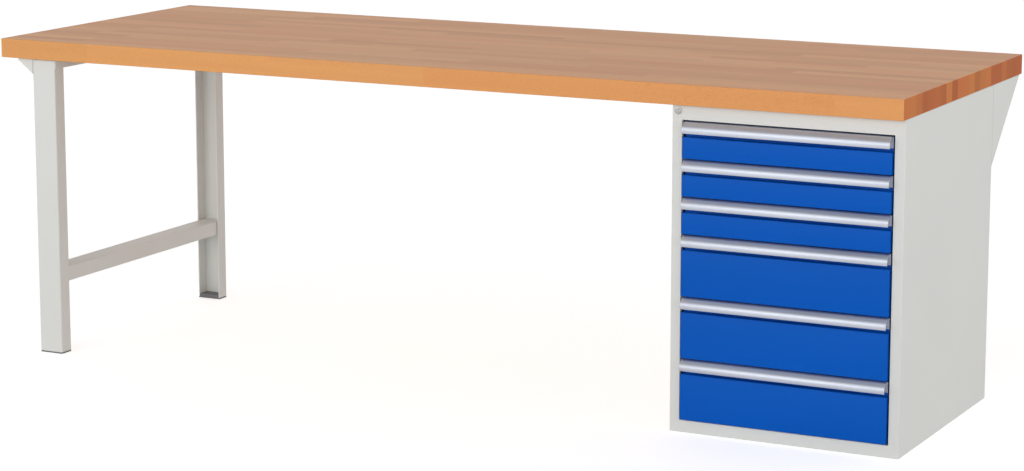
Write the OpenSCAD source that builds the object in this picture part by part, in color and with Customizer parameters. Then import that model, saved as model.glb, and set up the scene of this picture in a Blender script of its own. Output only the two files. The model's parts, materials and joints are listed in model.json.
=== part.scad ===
// Workbench: a solid beech worktop on one steel leg frame (left) and one steel cabinet with
// six drawers (right). The origin is on the floor, under the middle of the worktop.
// +X points to the right, +Y to the back, +Z up. Millimetres.

/* [Worktop] */
// Length of the worktop
top_w = 2500; // [1800:10:3200]
// Depth of the worktop
top_d = 900; // [750:5:1200]
// Thickness of the worktop
top_t = 50; // [30:1:70]
// Height of the working face above the floor
bench_h = 840; // [700:5:1100]
// Width of the eased edges
top_ease = 2; // [0.5:0.5:6]

/* [Leg frame] */
// Width of a leg, seen from the front
leg_w = 70; // [60:1:100]
// Depth of a leg, from its closed face to its open side
leg_d = 40; // [30:1:60]
// Sheet thickness of the legs, the head rail and the gussets
leg_sheet = 3; // [2:0.5:4]
// Outer radius of the legs' bends
leg_bend_r = 4; // [3:0.5:6]
// From the worktop's left end to the legs
leg_inset = 90; // [60:1:300]
// From the worktop's front edge to the front leg
leg_front_setback = 13; // [5:1:100]
// From the worktop's back edge to the rear leg
leg_back_setback = 75; // [5:1:150]
// Width of the crossbar
crossbar_w = 60; // [30:1:60]
// Height of the crossbar
crossbar_h = 40; // [20:1:60]
// Wall of the crossbar's tube
crossbar_wall = 2; // [1:0.5:3]
// From the floor to the crossbar
crossbar_z = 190; // [80:5:400]
// Thickness of the plastic foot under each leg
foot_t = 4; // [2:0.5:12]
// Height of the foot's plug inside the leg
foot_plug_h = 8; // [5:1:30]

/* [Head rail] */
// How far the head rail reaches past the legs, to the left
head_reach = 45; // [20:1:60]
// Height of the head rail's flange on the knee side
head_flange = 24; // [12:1:40]
// Height of the head rail's outer lip
head_lip = 8; // [5:1:12]
// How far a gusset runs down the leg
gusset_drop = 38; // [20:1:80]

/* [Cabinet] */
// Width of the cabinet
cab_w = 575; // [450:5:800]
// Depth of the cabinet, without the rear brackets
cab_d = 650; // [500:5:780]
// From the worktop's front edge to the cabinet's front frame
cab_front_setback = 18; // [18:1:40]
// From the worktop's right end to the cabinet
cab_inset = 0; // [0:1:200]
// Sheet thickness of the cabinet
cab_sheet = 1.5; // [1:0.25:1.75]
// Outer radius of the cabinet's bends
cab_bend_r = 2; // [2:0.5:4]
// Width of the front uprights beside the drawers
stile_w = 25; // [22:1:40]
// Depth of the fold behind each front upright
stile_return = 10; // [4:1:10]
// Width of the rear folds
rear_flange = 20; // [15:1:40]
// Height of the front rail above the drawers
header_h = 36; // [20:1:60]
// Height of the front rail below the drawers
sill_h = 30; // [20:1:60]
// Depth of the folds of the header and the sill
rail_return = 20; // [12:1:30]

/* [Rear brackets] */
// Height of a bracket at the cabinet's back
bracket_drop = 202; // [120:1:400]
// From a bracket's tip to the worktop's back edge
bracket_back_setback = 20; // [5:1:100]
// Width of the brackets' folds
bracket_flange = 20; // [16:1:30]

/* [Drawers] */
// Heights of the drawers from the top one down, in shares of the opening
drawer_shares = [3, 3, 3, 5, 5, 5];
// Gap above the top drawer
top_gap = 4; // [2:0.5:8]
// Gap between two drawer fronts
front_gap = 3; // [2:0.5:6]
// Gap at each side of the drawer fronts
side_gap = 4.5; // [2:0.5:8]
// How far the drawer fronts stand proud of the frame
front_proud = 8; // [0:1:8]
// Depth of the drawer fronts
front_d = 20; // [14:1:20]
// Sheet thickness of the drawer fronts and boxes
drawer_sheet = 1.2; // [0.8:0.1:1.5]
// From the drawer boxes to the cabinet's back
box_back_gap = 48; // [20:1:120]
// From a front's lower edge up to the box
box_lift = 4; // [2:1:10]
// From a front's upper edge down to the box's rim
box_drop = 8; // [4:1:20]

/* [Grip strips] */
// Height of the visible strip
grip_h = 26; // [20:1:32]
// Height of the strip's sloping upper half
grip_slope_h = 13; // [8:1:16]
// How far the nose stands out from the drawer front
grip_out = 10; // [6:1:16]
// Wall of the profile
grip_wall = 2; // [1.5:0.1:3]
// Height of the profile's back wall
grip_back_h = 28; // [20:1:28]
// From the upper edge of a drawer front down to the ledge of its finger recess
recess_h = 36; // [33:1:44]
// Radius of the profile's outer bends
grip_bend_r = 14; // [3:1:18]
// From the end of a drawer front to the end of its strip
grip_end_gap = 2; // [0:0.5:6]

/* [Slides] */
// Height of the drawer slides
slide_h = 36; // [30:1:38]
// From the drawer slides to the cabinet's back
slide_back_gap = 48; // [20:1:120]
// Width of a slide, from the front opening's edge to the drawer box
slide_w = 11.5; // [11:0.5:16]
// Sheet thickness of the slides
slide_sheet = 1.5; // [1:0.1:1.5]
// Play between two members of a slide
slide_play = 0.5; // [0.3:0.1:1]
// From a box's floor up to its slides
slide_lift = 6; // [3:1:8]
// From the front frame back to the slides
slide_setback = 22; // [20:1:40]
// Width of the posts that carry the slides
post_w = 40; // [25:1:60]

/* [Lock] */
// From the cabinet's side to the lock's axis
lock_x = 15.5; // [15:0.5:15.5]
// From the cabinet's upper edge to the lock's axis
lock_drop = 15; // [14:0.5:18]
// Radius of the lock's rosette
rosette_r = 9; // [8:0.5:9]
// Radius of the lock's threaded barrel
barrel_r = 7; // [6:0.5:7]
// Radius of the lock's core
core_r = 5; // [4:0.5:5]
// Running clearance of the core
core_play = 0.05; // [0.01:0.01:0.1]
// How far the locking bar moves down
bar_travel = 10; // [8:0.5:10]
// Width of the locking bar
bar_w = 16; // [14:1:16]
// Thickness of the locking bar
bar_t = 3; // [2:0.5:3]
// Height of a lug on the locking bar, and of its catch on the drawer
lug_h = 6; // [4:0.5:7]

/* [Screws] */
// Radius of the wood screws
screw_r = 3; // [2:0.25:4]
// Length of the wood screws in the worktop
screw_len = 25; // [15:1:28]
// Radius of the wood screws' heads
screw_head_r = 6; // [5:0.5:8]
// Radius of the bracket bolts
bolt_r = 3; // [2:0.5:4]
// Play of a screw or bolt in its hole
screw_play = 0.1; // [0.05:0.05:0.5]

/* [Hidden] */
EPS = 1;
post_back_gap = 70;
bracket_screw_share = 0.45;
lock_nut_r = rosette_r * 0.95;
cam_rim = 1.5;
bar_head = 3;
cab_h = bench_h - top_t;
pilot_depth = screw_len + 2;
screw_head_h = 3;
bolt_head_h = 3;
bolt_head_r = bolt_r * 1.8;
bolt_nut_r = bolt_r * 1.9;

// Leg frame
leg_x = -top_w / 2 + leg_inset;
leg_front_y = -top_d / 2 + leg_front_setback;
leg_back_y = top_d / 2 - leg_back_setback;
leg_top = cab_h - leg_sheet;
leg_room = leg_w - 2 * leg_sheet;
foot_play = 0.3;
head_x0 = leg_x - head_reach;
head_x1 = leg_x + leg_w + leg_sheet;

// Cabinet, in its own frame: x from its left side, y from its front frame
cab_x = top_w / 2 - cab_inset - cab_w;
cab_y = -top_d / 2 + cab_front_setback;
open_w = cab_w - 2 * stile_w;
bracket_reach = top_d - cab_front_setback - cab_d - bracket_back_setback;

// Drawers, counted from the top one
share_h = (cab_h - header_h - sill_h - top_gap) / sum(drawer_shares);
box_y = front_d - front_proud;
box_d = cab_d - box_back_gap - box_y;
slide_len = cab_d - slide_back_gap - slide_setback;
box_x = stile_w + slide_w;
front_w = open_w - 2 * side_gap;
slide_play_x = 0.6;
slide_fixed_reach = 10;
slide_middle_reach = 8.6;
slide_inner_reach = 8.5;
post_front_y = 40;
post_back_y = cab_d - post_back_gap - post_w;

// Lock and locking bar
lock_z = cab_h - lock_drop;
rosette_t = 2;
nut_t = 3;
barrel_y = 9;
cam_y = 9.3;
cam_t = 2.5;
bar_y = front_d - front_proud + 1;
bar_x = 3.5;
pin_r = 2;
pin_arm = bar_travel / 2;
pin_play = 0.6;
lug_gap = 1.5;
catch_w = 7.5;
catch_t = 2;
catch_drop = 3;
catch_play = 2;
lug_reach = box_x - lug_gap - bar_x - bar_w;
guide_h = 12;
guide_t = 1.5;
guide_play = 0.3;
lower_guide_drop = 80;
slot_w = 1.2;
slot_depth = 1.5;
slot_reach = core_r * 0.7;

BEECH = [0.86, 0.62, 0.38];
LIGHT_GREY = [0.85, 0.86, 0.83];
BLUE = [0.0, 0.33, 0.72];
ALUMINIUM = [0.82, 0.85, 0.89];
ZINC = [0.68, 0.70, 0.72];
CHROME = [0.75, 0.75, 0.77];
FOOT_GREY = [0.43, 0.44, 0.45];

DRAWERS = [1 : len(drawer_shares)];

// Sum of a list, from its first value to the one before index n
function sum(list, n = undef) =
    let (last = is_undef(n) ? len(list) : n) last == 0 ? 0 : list[last - 1] + sum(list, last - 1);

// Upper and lower edge of drawer n's front, and its box's floor and rim
function front_top(n) = cab_h - header_h - top_gap - share_h * sum(drawer_shares, n - 1);
function front_bottom(n) = front_top(n) - share_h * drawer_shares[n - 1] + front_gap;
function box_floor(n) = front_bottom(n) + box_lift;
function box_rim(n) = front_top(n) - box_drop;

// The catch on drawer n's box, and the lug that stands above it while the lock is open
function catch_top(n) = box_rim(n) - catch_drop;
function lug_bottom(n) = catch_top(n) + catch_play;
lower_guide_z = lug_bottom(len(drawer_shares)) - lower_guide_drop;
upper_guide_z = (lug_bottom(3) + lug_bottom(2) - bar_travel) / 2 - guide_h / 2;

// Places of the screws in the worktop, and of the bolts along a bracket's drop
head_screws = 6;
head_screw_inset = 80;
head_screw_step = (leg_back_y - leg_front_y - 2 * head_screw_inset) / (head_screws - 1);
head_screw_x = (leg_x + head_x0) / 2;
head_screw_y = [for (k = [0 : head_screws - 1]) leg_front_y + head_screw_inset + k * head_screw_step];
panel_inset_x = 80;
panel_inset_y = 120;
panel_screw_x = [cab_x + panel_inset_x, cab_x + cab_w - panel_inset_x];
panel_screw_y = [cab_y + panel_inset_y, cab_y + cab_d - panel_inset_y];
bracket_hole_x = bracket_flange / 2 + 1;
bracket_screw_x = [cab_x + bracket_hole_x, cab_x + cab_w - bracket_hole_x];
bracket_screw_y = cab_y + cab_d + bracket_reach * bracket_screw_share;
bolt_shares = [0.3, 0.6, 0.9];
HEAD_SCREWS = [for (y = head_screw_y) [head_screw_x, y]];
PANEL_SCREWS = [for (x = panel_screw_x, y = panel_screw_y) [x, y]];
BRACKET_SCREWS = [for (x = bracket_screw_x) [x, bracket_screw_y]];

// A block between two corners
module slab(lo, hi) { translate(lo) cube(hi - lo); }

// A rectangle with its corners cut off
module eased_rect(a, b, c) {
    polygon([[c, 0], [a - c, 0], [a, c], [a, b - c], [a - c, b], [c, b], [0, b - c], [0, c]]);
}

// A rectangle whose two corners on the X axis are rounded
module bent_rect(a, b, r) {
    translate([r, 0]) square([a - 2 * r, b]);
    translate([0, r]) square([a, b - r]);
    for (x = [r, a - r]) translate([x, r]) circle(r, $fn = 32);
}

// A rectangle with four rounded corners
module round_rect(a, b, r) {
    translate([r, 0]) square([a - 2 * r, b]);
    translate([0, r]) square([a, b - 2 * r]);
    for (x = [r, a - r], y = [r, b - r]) translate([x, y]) circle(r, $fn = 32);
}

// Extrudes a shape drawn in (x, z) along Y, from y to y + depth
module along_y(y, depth) {
    translate([0, y + depth, 0]) rotate([90, 0, 0]) linear_extrude(depth) children();
}

// Extrudes a shape drawn in (y, z) along X, from x to x + width
module along_x(x, width) { translate([x, 0, 0]) rotate([90, 0, 90]) linear_extrude(width) children(); }

// A cylinder along Y, from y to y + length
module rod_y(x, y, z, r, length) {
    translate([x, y, z]) rotate([-90, 0, 0]) cylinder(h = length, r = r, $fn = 48);
}

module in_cabinet() { translate([cab_x, cab_y, 0]) children(); }

// The mirror image of a piece of the cabinet's left side
module on_right() { translate([cab_w, 0, 0]) mirror([1, 0, 0]) children(); }

// Clearance holes for wood screws that go up into the worktop
module screw_holes(points) {
    for (p = points) translate([p.x, p.y, cab_h - leg_sheet - EPS])
        cylinder(h = leg_sheet + 2 * EPS, r = screw_r + screw_play, $fn = 32);
}

// ---- Worktop and leg frame ----

module worktop() {
    color(BEECH) difference() {
        translate([-top_w / 2, -top_d / 2, cab_h]) intersection() {
            linear_extrude(top_t) eased_rect(top_w, top_d, top_ease);
            along_y(0, top_d) eased_rect(top_w, top_t, top_ease);
            along_x(0, top_w) eased_rect(top_d, top_t, top_ease);
        }
        for (p = concat(HEAD_SCREWS, PANEL_SCREWS, BRACKET_SCREWS))
            translate([p.x, p.y, cab_h - EPS])
                cylinder(h = pilot_depth + EPS, r = screw_r + screw_play, $fn = 32);
    }
}

// A wood screw whose head bears on sheet of the given thickness
module wood_screw(p, sheet) {
    translate([p.x, p.y, cab_h - sheet - screw_head_h]) {
        cylinder(h = screw_head_h, r = screw_head_r, $fn = 32);
        cylinder(h = screw_head_h + sheet + screw_len, r = screw_r, $fn = 32);
    }
}

module worktop_screws() {
    color(ZINC) {
        for (p = HEAD_SCREWS) wood_screw(p, leg_sheet);
        for (p = concat(PANEL_SCREWS, BRACKET_SCREWS)) wood_screw(p, cab_sheet);
    }
}

// The channel of a leg: closed in front, open at the back
module leg_section() {
    difference() {
        bent_rect(leg_w, leg_d, leg_bend_r);
        translate([leg_sheet, leg_sheet]) square([leg_room, leg_d]);
    }
}

module leg() { translate([0, 0, foot_t]) linear_extrude(leg_top - foot_t) leg_section(); }

module front_leg() { color(LIGHT_GREY) translate([leg_x, leg_front_y, 0]) leg(); }

module rear_leg() { color(LIGHT_GREY) translate([leg_x, leg_back_y, 0]) mirror([0, 1, 0]) leg(); }

// A plastic foot: a plate under the leg and a plug that fits into its channel
module foot() {
    linear_extrude(foot_t) bent_rect(leg_w, leg_d, leg_bend_r);
    slab([leg_sheet + foot_play, leg_sheet + foot_play, 0],
         [leg_w - leg_sheet - foot_play, leg_d - foot_play, foot_t + foot_plug_h]);
}

module front_foot() { color(FOOT_GREY) translate([leg_x, leg_front_y, 0]) foot(); }

module rear_foot() { color(FOOT_GREY) translate([leg_x, leg_back_y, 0]) mirror([0, 1, 0]) foot(); }

// A rectangular tube that runs from the front leg's web to the rear leg's web
module crossbar() {
    first_y = leg_front_y + leg_sheet;
    length = leg_back_y - leg_sheet - first_y;
    color(LIGHT_GREY) translate([leg_x + (leg_w - crossbar_w) / 2, 0, crossbar_z])
        along_y(first_y, length) difference() {
            round_rect(crossbar_w, crossbar_h, crossbar_wall + 1);
            translate([crossbar_wall, crossbar_wall])
                round_rect(crossbar_w - 2 * crossbar_wall, crossbar_h - 2 * crossbar_wall, 1);
        }
}

// The channel on top of the legs, screwed to the worktop from below
module head_rail() {
    color(LIGHT_GREY) difference() {
        along_y(leg_front_y, leg_back_y - leg_front_y) {
            translate([head_x0, leg_top]) square([head_x1 - head_x0, leg_sheet]);
            translate([head_x1 - leg_sheet, cab_h - head_flange]) square([leg_sheet, head_flange]);
            translate([head_x0, cab_h - head_lip]) square([leg_sheet, head_lip]);
        }
        screw_holes(HEAD_SCREWS);
    }
}

// A plate that flares from the leg out to the head rail's lip
module gusset(y) {
    inner_x = head_x0 + leg_sheet;
    color(LIGHT_GREY) along_y(y, leg_sheet) polygon([
        [inner_x, leg_top], [leg_x, leg_top], [leg_x, leg_top - gusset_drop], [inner_x, cab_h - head_lip]]);
}

module front_gusset() { gusset(leg_front_y); }

module rear_gusset() { gusset(leg_back_y - leg_sheet); }

// ---- Cabinet ----

// A quarter of a ring: the bend between two folds of sheet
module sheet_bend() {
    intersection() {
        difference() {
            circle(cab_bend_r, $fn = 32);
            circle(cab_bend_r - cab_sheet, $fn = 32);
        }
        translate([-cab_bend_r, -cab_bend_r]) square(cab_bend_r);
    }
}

// Plan of a side: outer skin, front upright with its fold, and rear fold
module side_section() {
    translate([0, cab_bend_r]) square([cab_sheet, cab_d - 2 * cab_bend_r]);
    translate([cab_bend_r, 0]) square([stile_w - cab_bend_r, cab_sheet]);
    translate([stile_w - cab_sheet, 0]) square([cab_sheet, stile_return]);
    translate([cab_bend_r, cab_d - cab_sheet]) square([rear_flange - cab_bend_r, cab_sheet]);
    translate([cab_bend_r, cab_bend_r]) sheet_bend();
    translate([cab_bend_r, cab_d - cab_bend_r]) mirror([0, 1]) sheet_bend();
}

// The places of the bolts in one bracket
module bolt_points() {
    for (share = bolt_shares) translate([bracket_hole_x, 0, cab_h - bracket_drop * share]) children();
}

module side_panel() {
    difference() {
        linear_extrude(cab_h) side_section();
        bolt_points() rod_y(0, cab_d - cab_sheet - EPS, 0, bolt_r + screw_play, cab_sheet + 2 * EPS);
    }
}

module left_side_panel() {
    color(LIGHT_GREY) in_cabinet() difference() {
        side_panel();
        rod_y(lock_x, -EPS, lock_z, barrel_r + screw_play, cab_sheet + 2 * EPS);
    }
}

module right_side_panel() { color(LIGHT_GREY) in_cabinet() on_right() side_panel(); }

// The back lies against the sides' rear folds, and the bracket bolts hold both
module back_panel() {
    color(LIGHT_GREY) in_cabinet() difference() {
        slab([cab_bend_r, cab_d - 2 * cab_sheet, 0], [cab_w - cab_bend_r, cab_d - cab_sheet, cab_h]);
        bolt_points() back_hole();
        on_right() bolt_points() back_hole();
    }
}

module back_hole() { rod_y(0, cab_d - 2 * cab_sheet - EPS, 0, bolt_r + screw_play, cab_sheet + 2 * EPS); }

module top_panel() {
    color(LIGHT_GREY) difference() {
        in_cabinet() slab([cab_sheet, rail_return, cab_h - cab_sheet],
                          [cab_w - cab_sheet, cab_d - 2 * cab_sheet, cab_h]);
        screw_holes(PANEL_SCREWS);
    }
}

// The cabinet's floor, with a fold down to the ground along each side
module base_panel() {
    color(LIGHT_GREY) in_cabinet() {
        slab([cab_sheet, rail_return, sill_h - cab_sheet],
             [cab_w - cab_sheet, cab_d - 2 * cab_sheet, sill_h]);
        for (x = [cab_sheet, cab_w - 2 * cab_sheet])
            slab([x, rail_return, 0], [x + cab_sheet, cab_d - 2 * cab_sheet, sill_h]);
    }
}

// A front rail: a face with one fold back at its lower and one at its upper edge
module front_rail(z, height) {
    color(LIGHT_GREY) in_cabinet() {
        slab([stile_w, 0, z], [cab_w - stile_w, cab_sheet, z + height]);
        for (level = [z, z + height - cab_sheet])
            slab([stile_w, 0, level], [cab_w - stile_w, rail_return, level + cab_sheet]);
    }
}

module front_header() { front_rail(cab_h - header_h, header_h); }

module front_sill() { front_rail(0, sill_h); }

// A triangular plate that carries the worktop behind the cabinet, with a fold on each edge
module bracket() {
    drop = bracket_drop;
    reach = bracket_reach;
    fold_run = cab_sheet * sqrt(reach * reach + drop * drop) / drop;
    fold_rise = cab_sheet * sqrt(reach * reach + drop * drop) / reach;
    difference() {
        union() {
            along_x(0, cab_sheet) polygon([[cab_d, cab_h - drop], [cab_d + reach, cab_h], [cab_d, cab_h]]);
            along_x(0, bracket_flange) {
                polygon([[cab_d, cab_h - drop], [cab_d + reach, cab_h], [cab_d + reach - fold_run, cab_h],
                         [cab_d, cab_h - drop + fold_rise]]);
                polygon([[cab_d, cab_h - cab_sheet], [cab_d + reach - fold_run, cab_h - cab_sheet],
                         [cab_d + reach - fold_run, cab_h], [cab_d, cab_h]]);
                translate([cab_d, cab_h - drop + fold_rise / 2])
                    square([cab_sheet, drop - fold_rise / 2]);
            }
        }
        bolt_points() rod_y(0, cab_d - EPS, 0, bolt_r + screw_play, cab_sheet + 2 * EPS);
    }
}

module left_bracket() {
    color(LIGHT_GREY) difference() {
        in_cabinet() bracket();
        screw_holes(BRACKET_SCREWS);
    }
}

module right_bracket() {
    color(LIGHT_GREY) difference() {
        in_cabinet() on_right() bracket();
        screw_holes(BRACKET_SCREWS);
    }
}

// A bolt through the bracket, the side's rear fold and the back, with its nut inside
module bracket_bolt() {
    nut_y = cab_d - 2 * cab_sheet - bolt_head_h;
    rod_y(0, nut_y, 0, bolt_r, 3 * cab_sheet + 2 * bolt_head_h);
    rod_y(0, cab_d + cab_sheet, 0, bolt_head_r, bolt_head_h);
    translate([0, nut_y, 0]) rotate([-90, 0, 0]) cylinder(h = bolt_head_h, r = bolt_nut_r, $fn = 6);
}

module bracket_bolts() {
    color(ZINC) in_cabinet() {
        bolt_points() bracket_bolt();
        on_right() bolt_points() bracket_bolt();
    }
}

// ---- Slides ----

// Two upright channels that carry the left fixed slides
module slide_posts() {
    depth = stile_w - cab_sheet;
    for (y = [post_front_y, post_back_y]) difference() {
        slab([cab_sheet, y, sill_h], [depth, y + post_w, cab_h - cab_sheet]);
        slab([0, y + cab_sheet, 0], [depth - cab_sheet, y + post_w - cab_sheet, cab_h]);
    }
}

module left_slide_posts() { color(ZINC) in_cabinet() slide_posts(); }

module right_slide_posts() { color(ZINC) in_cabinet() on_right() slide_posts(); }

// A channel lying along Y: its web at x, its flanges reaching towards +X (or -X where reach < 0)
module slide_member(x, reach, height, n) {
    z = box_floor(n) + slide_lift + (slide_h - height) / 2;
    sheet = slide_sheet;
    web_x = reach > 0 ? x : x - sheet;
    flange_x = reach > 0 ? x : x + reach;
    slab([web_x, slide_setback, z], [web_x + sheet, slide_setback + slide_len, z + height]);
    for (level = [z, z + height - sheet])
        slab([flange_x, slide_setback, level],
             [flange_x + abs(reach), slide_setback + slide_len, level + sheet]);
}

middle_h = slide_h - 2 * (slide_sheet + slide_play);
inner_h = middle_h - 2 * (slide_sheet + slide_play);

module fixed_slides() {
    for (n = DRAWERS) slide_member(stile_w - slide_sheet, slide_fixed_reach, slide_h, n);
}

module left_fixed_slides() { color(ZINC) in_cabinet() fixed_slides(); }

module right_fixed_slides() { color(ZINC) in_cabinet() on_right() fixed_slides(); }

module middle_slides(n) {
    color(ZINC) in_cabinet() {
        slide_member(stile_w + slide_play_x, slide_middle_reach, middle_h, n);
        on_right() slide_member(stile_w + slide_play_x, slide_middle_reach, middle_h, n);
    }
}

module inner_slides(n) {
    color(ZINC) in_cabinet() {
        slide_member(box_x, -slide_inner_reach, inner_h, n);
        on_right() slide_member(box_x, -slide_inner_reach, inner_h, n);
    }
}

// ---- Drawers ----

// An open steel tray, with the catch for the locking bar on its left side
module drawer_box(n) {
    floor_z = box_floor(n);
    rim_z = box_rim(n);
    catch_y = bar_y + bar_t + lug_gap;
    color(LIGHT_GREY) in_cabinet() {
        difference() {
            slab([box_x, box_y, floor_z], [cab_w - box_x, box_y + box_d, rim_z]);
            slab([box_x + drawer_sheet, box_y + drawer_sheet, floor_z + drawer_sheet],
                 [cab_w - box_x - drawer_sheet, box_y + box_d - drawer_sheet, rim_z + EPS]);
        }
        slab([box_x - catch_w, catch_y, catch_top(n) - lug_h],
             [box_x + drawer_sheet, catch_y + catch_t, catch_top(n)]);
    }
}

// A pan of painted sheet, open at the back, with a finger recess along its upper edge. The recess has a
// ledge, which is the pan's top, and a wall behind, against which the grip strip is fixed.
module drawer_front(n) {
    lo = [stile_w + side_gap, -front_proud, front_bottom(n)];
    hi = [stile_w + side_gap + front_w, box_y, front_top(n) - recess_h];
    wall = drawer_sheet;
    color(BLUE) in_cabinet() {
        difference() {
            slab(lo, hi);
            slab(lo + [wall, wall, wall], hi - [wall, -EPS, wall]);
        }
        slab([lo[0], box_y - wall, hi[2] - wall], [hi[0], box_y, front_top(n)]);
    }
}

// Points of an arc in the (out, up) plane, from angle a to angle b
function arc(centre, r, a, b, steps = 6) =
    [for (k = [0 : steps]) centre + r * [cos(a + (b - a) * k / steps), sin(a + (b - a) * k / steps)]];

// The hooked profile, seen from the left end: out is towards the user, up is 0 at its upper edge.
// From the back wall it runs forward, slopes down to the nose, and falls straight to its lower edge.
module grip_profile() {
    back = drawer_sheet - box_y;
    nose = front_proud + grip_out;
    wall = grip_wall;
    bend = grip_bend_r;
    slope_top = nose - grip_slope_h;
    turn = bend * tan(22.5);
    top_centre = [slope_top - turn, -bend];
    nose_centre = [nose - bend, -grip_slope_h - turn];
    lip_centre = [nose - wall / 2, -grip_h + wall / 2];
    polygon(concat(
        [[back, 0]],
        arc(top_centre, bend, 90, 45),
        arc(nose_centre, bend, 45, 0),
        arc(lip_centre, wall / 2, 0, -180),
        arc(nose_centre, bend - wall, 0, 45),
        arc(top_centre, bend - wall, 45, 90),
        [[back + wall, -wall], [back + wall, -grip_back_h], [back, -grip_back_h]]));
}

module drawer_grip(n) {
    end_x = stile_w + side_gap + grip_end_gap;
    color(ALUMINIUM) in_cabinet() translate([end_x, 0, front_top(n)])
        rotate([90, 0, 90]) linear_extrude(front_w - 2 * grip_end_gap) mirror([1, 0]) grip_profile();
}

// ---- Lock ----

module lock_housing() {
    color(CHROME) in_cabinet() difference() {
        union() {
            rod_y(lock_x, -rosette_t, lock_z, rosette_r, rosette_t);
            rod_y(lock_x, -rosette_t, lock_z, barrel_r, rosette_t + barrel_y);
        }
        rod_y(lock_x, -rosette_t - EPS, lock_z, core_r + core_play, rosette_t + barrel_y + 2 * EPS);
    }
}

module lock_nut() {
    color(CHROME) in_cabinet() difference() {
        translate([lock_x, cab_sheet, lock_z]) rotate([-90, 30, 0])
            cylinder(h = nut_t, r = lock_nut_r, $fn = 6);
        rod_y(lock_x, 0, lock_z, barrel_r + core_play, cab_sheet + nut_t + EPS);
    }
}

// The turning core, with its key slot in front and a tail that carries the cam
module lock_core() {
    tail_r = core_r / 2;
    color(CHROME) in_cabinet() difference() {
        union() {
            rod_y(lock_x, -rosette_t, lock_z, core_r, rosette_t + cam_y);
            rod_y(lock_x, cam_y, lock_z, tail_r, cam_t);
        }
        slab([lock_x - slot_w / 2, -rosette_t - EPS, lock_z - slot_reach],
             [lock_x + slot_w / 2, -rosette_t + slot_depth, lock_z + slot_reach]);
    }
}

// The cam's pin stands up and to the left at rest, and swings down as the core turns
module lock_cam() {
    pin_x = lock_x - pin_arm;
    pin_z = lock_z + pin_arm;
    color(ZINC) in_cabinet() {
        along_y(cam_y, cam_t) difference() {
            union() {
                translate([lock_x, lock_z]) circle(core_r, $fn = 48);
                translate([pin_x, pin_z]) circle(pin_r + cam_rim, $fn = 48);
                translate([lock_x, lock_z]) rotate(135)
                    translate([0, -pin_r]) square([pin_arm * sqrt(2), 2 * pin_r]);
            }
            translate([lock_x, lock_z]) circle(core_r / 2, $fn = 48);
        }
        rod_y(pin_x, cam_y + cam_t, pin_z, pin_r, bar_y + bar_t + 1 - cam_y - cam_t);
    }
}

// A flat bar with one lug for each drawer, moved down by the cam's pin in its slot
module locking_bar() {
    pin_x0 = lock_x - pin_arm * sqrt(2) - pin_r - pin_play;
    pin_x1 = lock_x - pin_arm + pin_r + pin_play;
    pin_z = lock_z + pin_arm;
    bar_bottom = lower_guide_z - 2 * guide_h;
    bar_top = pin_z + pin_r + bar_head;
    color(ZINC) in_cabinet() difference() {
        union() {
            slab([bar_x, bar_y, bar_bottom], [bar_x + bar_w, bar_y + bar_t, bar_top]);
            for (n = DRAWERS) slab([bar_x + bar_w - EPS, bar_y, lug_bottom(n)],
                                   [bar_x + bar_w + lug_reach, bar_y + bar_t, lug_bottom(n) + lug_h]);
        }
        slab([pin_x0, bar_y - EPS, pin_z - pin_r - pin_play],
             [pin_x1, bar_y + bar_t + EPS, pin_z + pin_r + pin_play]);
    }
}

// Two clips on the cabinet's side that hold the bar upright
module locking_bar_guides() {
    outer_x = bar_x + bar_w + guide_play + guide_t;
    back_y = bar_y + bar_t + guide_play;
    for (z = [lower_guide_z, upper_guide_z]) color(ZINC) in_cabinet() difference() {
        slab([cab_sheet, bar_y - guide_play - guide_t, z], [outer_x, back_y + guide_t, z + guide_h]);
        slab([0, bar_y - guide_play, z - EPS], [outer_x - guide_t, back_y, z + guide_h + EPS]);
    }
}

worktop();
front_leg();
rear_leg();
crossbar();
head_rail();
front_gusset();
rear_gusset();
front_foot();
rear_foot();
worktop_screws();
left_side_panel();
right_side_panel();
back_panel();
top_panel();
base_panel();
front_header();
front_sill();
left_bracket();
right_bracket();
bracket_bolts();
left_slide_posts();
right_slide_posts();
left_fixed_slides();
right_fixed_slides();
lock_housing();
lock_nut();
lock_core();
lock_cam();
locking_bar();
locking_bar_guides();
for (n = DRAWERS) {
    drawer_box(n);
    drawer_front(n);
    drawer_grip(n);
    middle_slides(n);
    inner_slides(n);
}
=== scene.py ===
# %% [markdown]
# # A workshop bench: beech worktop, steel leg frame, steel cabinet with six drawers
# The real bench is a thick slab of glued beech staves. It lies on a welded frame of two open steel
# channels at the left and on a folded sheet-steel cabinet at the right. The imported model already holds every
# piece at its true size, so this lesson only gives the pieces their finish, and rebuilds the few whose
# shape is too plain for a close look. Every length is in metres, and every place comes from the frame.

# %% Load the fixed frame
import json
import math
import random

import bmesh
import bpy
from mathutils import Matrix, Vector


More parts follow.
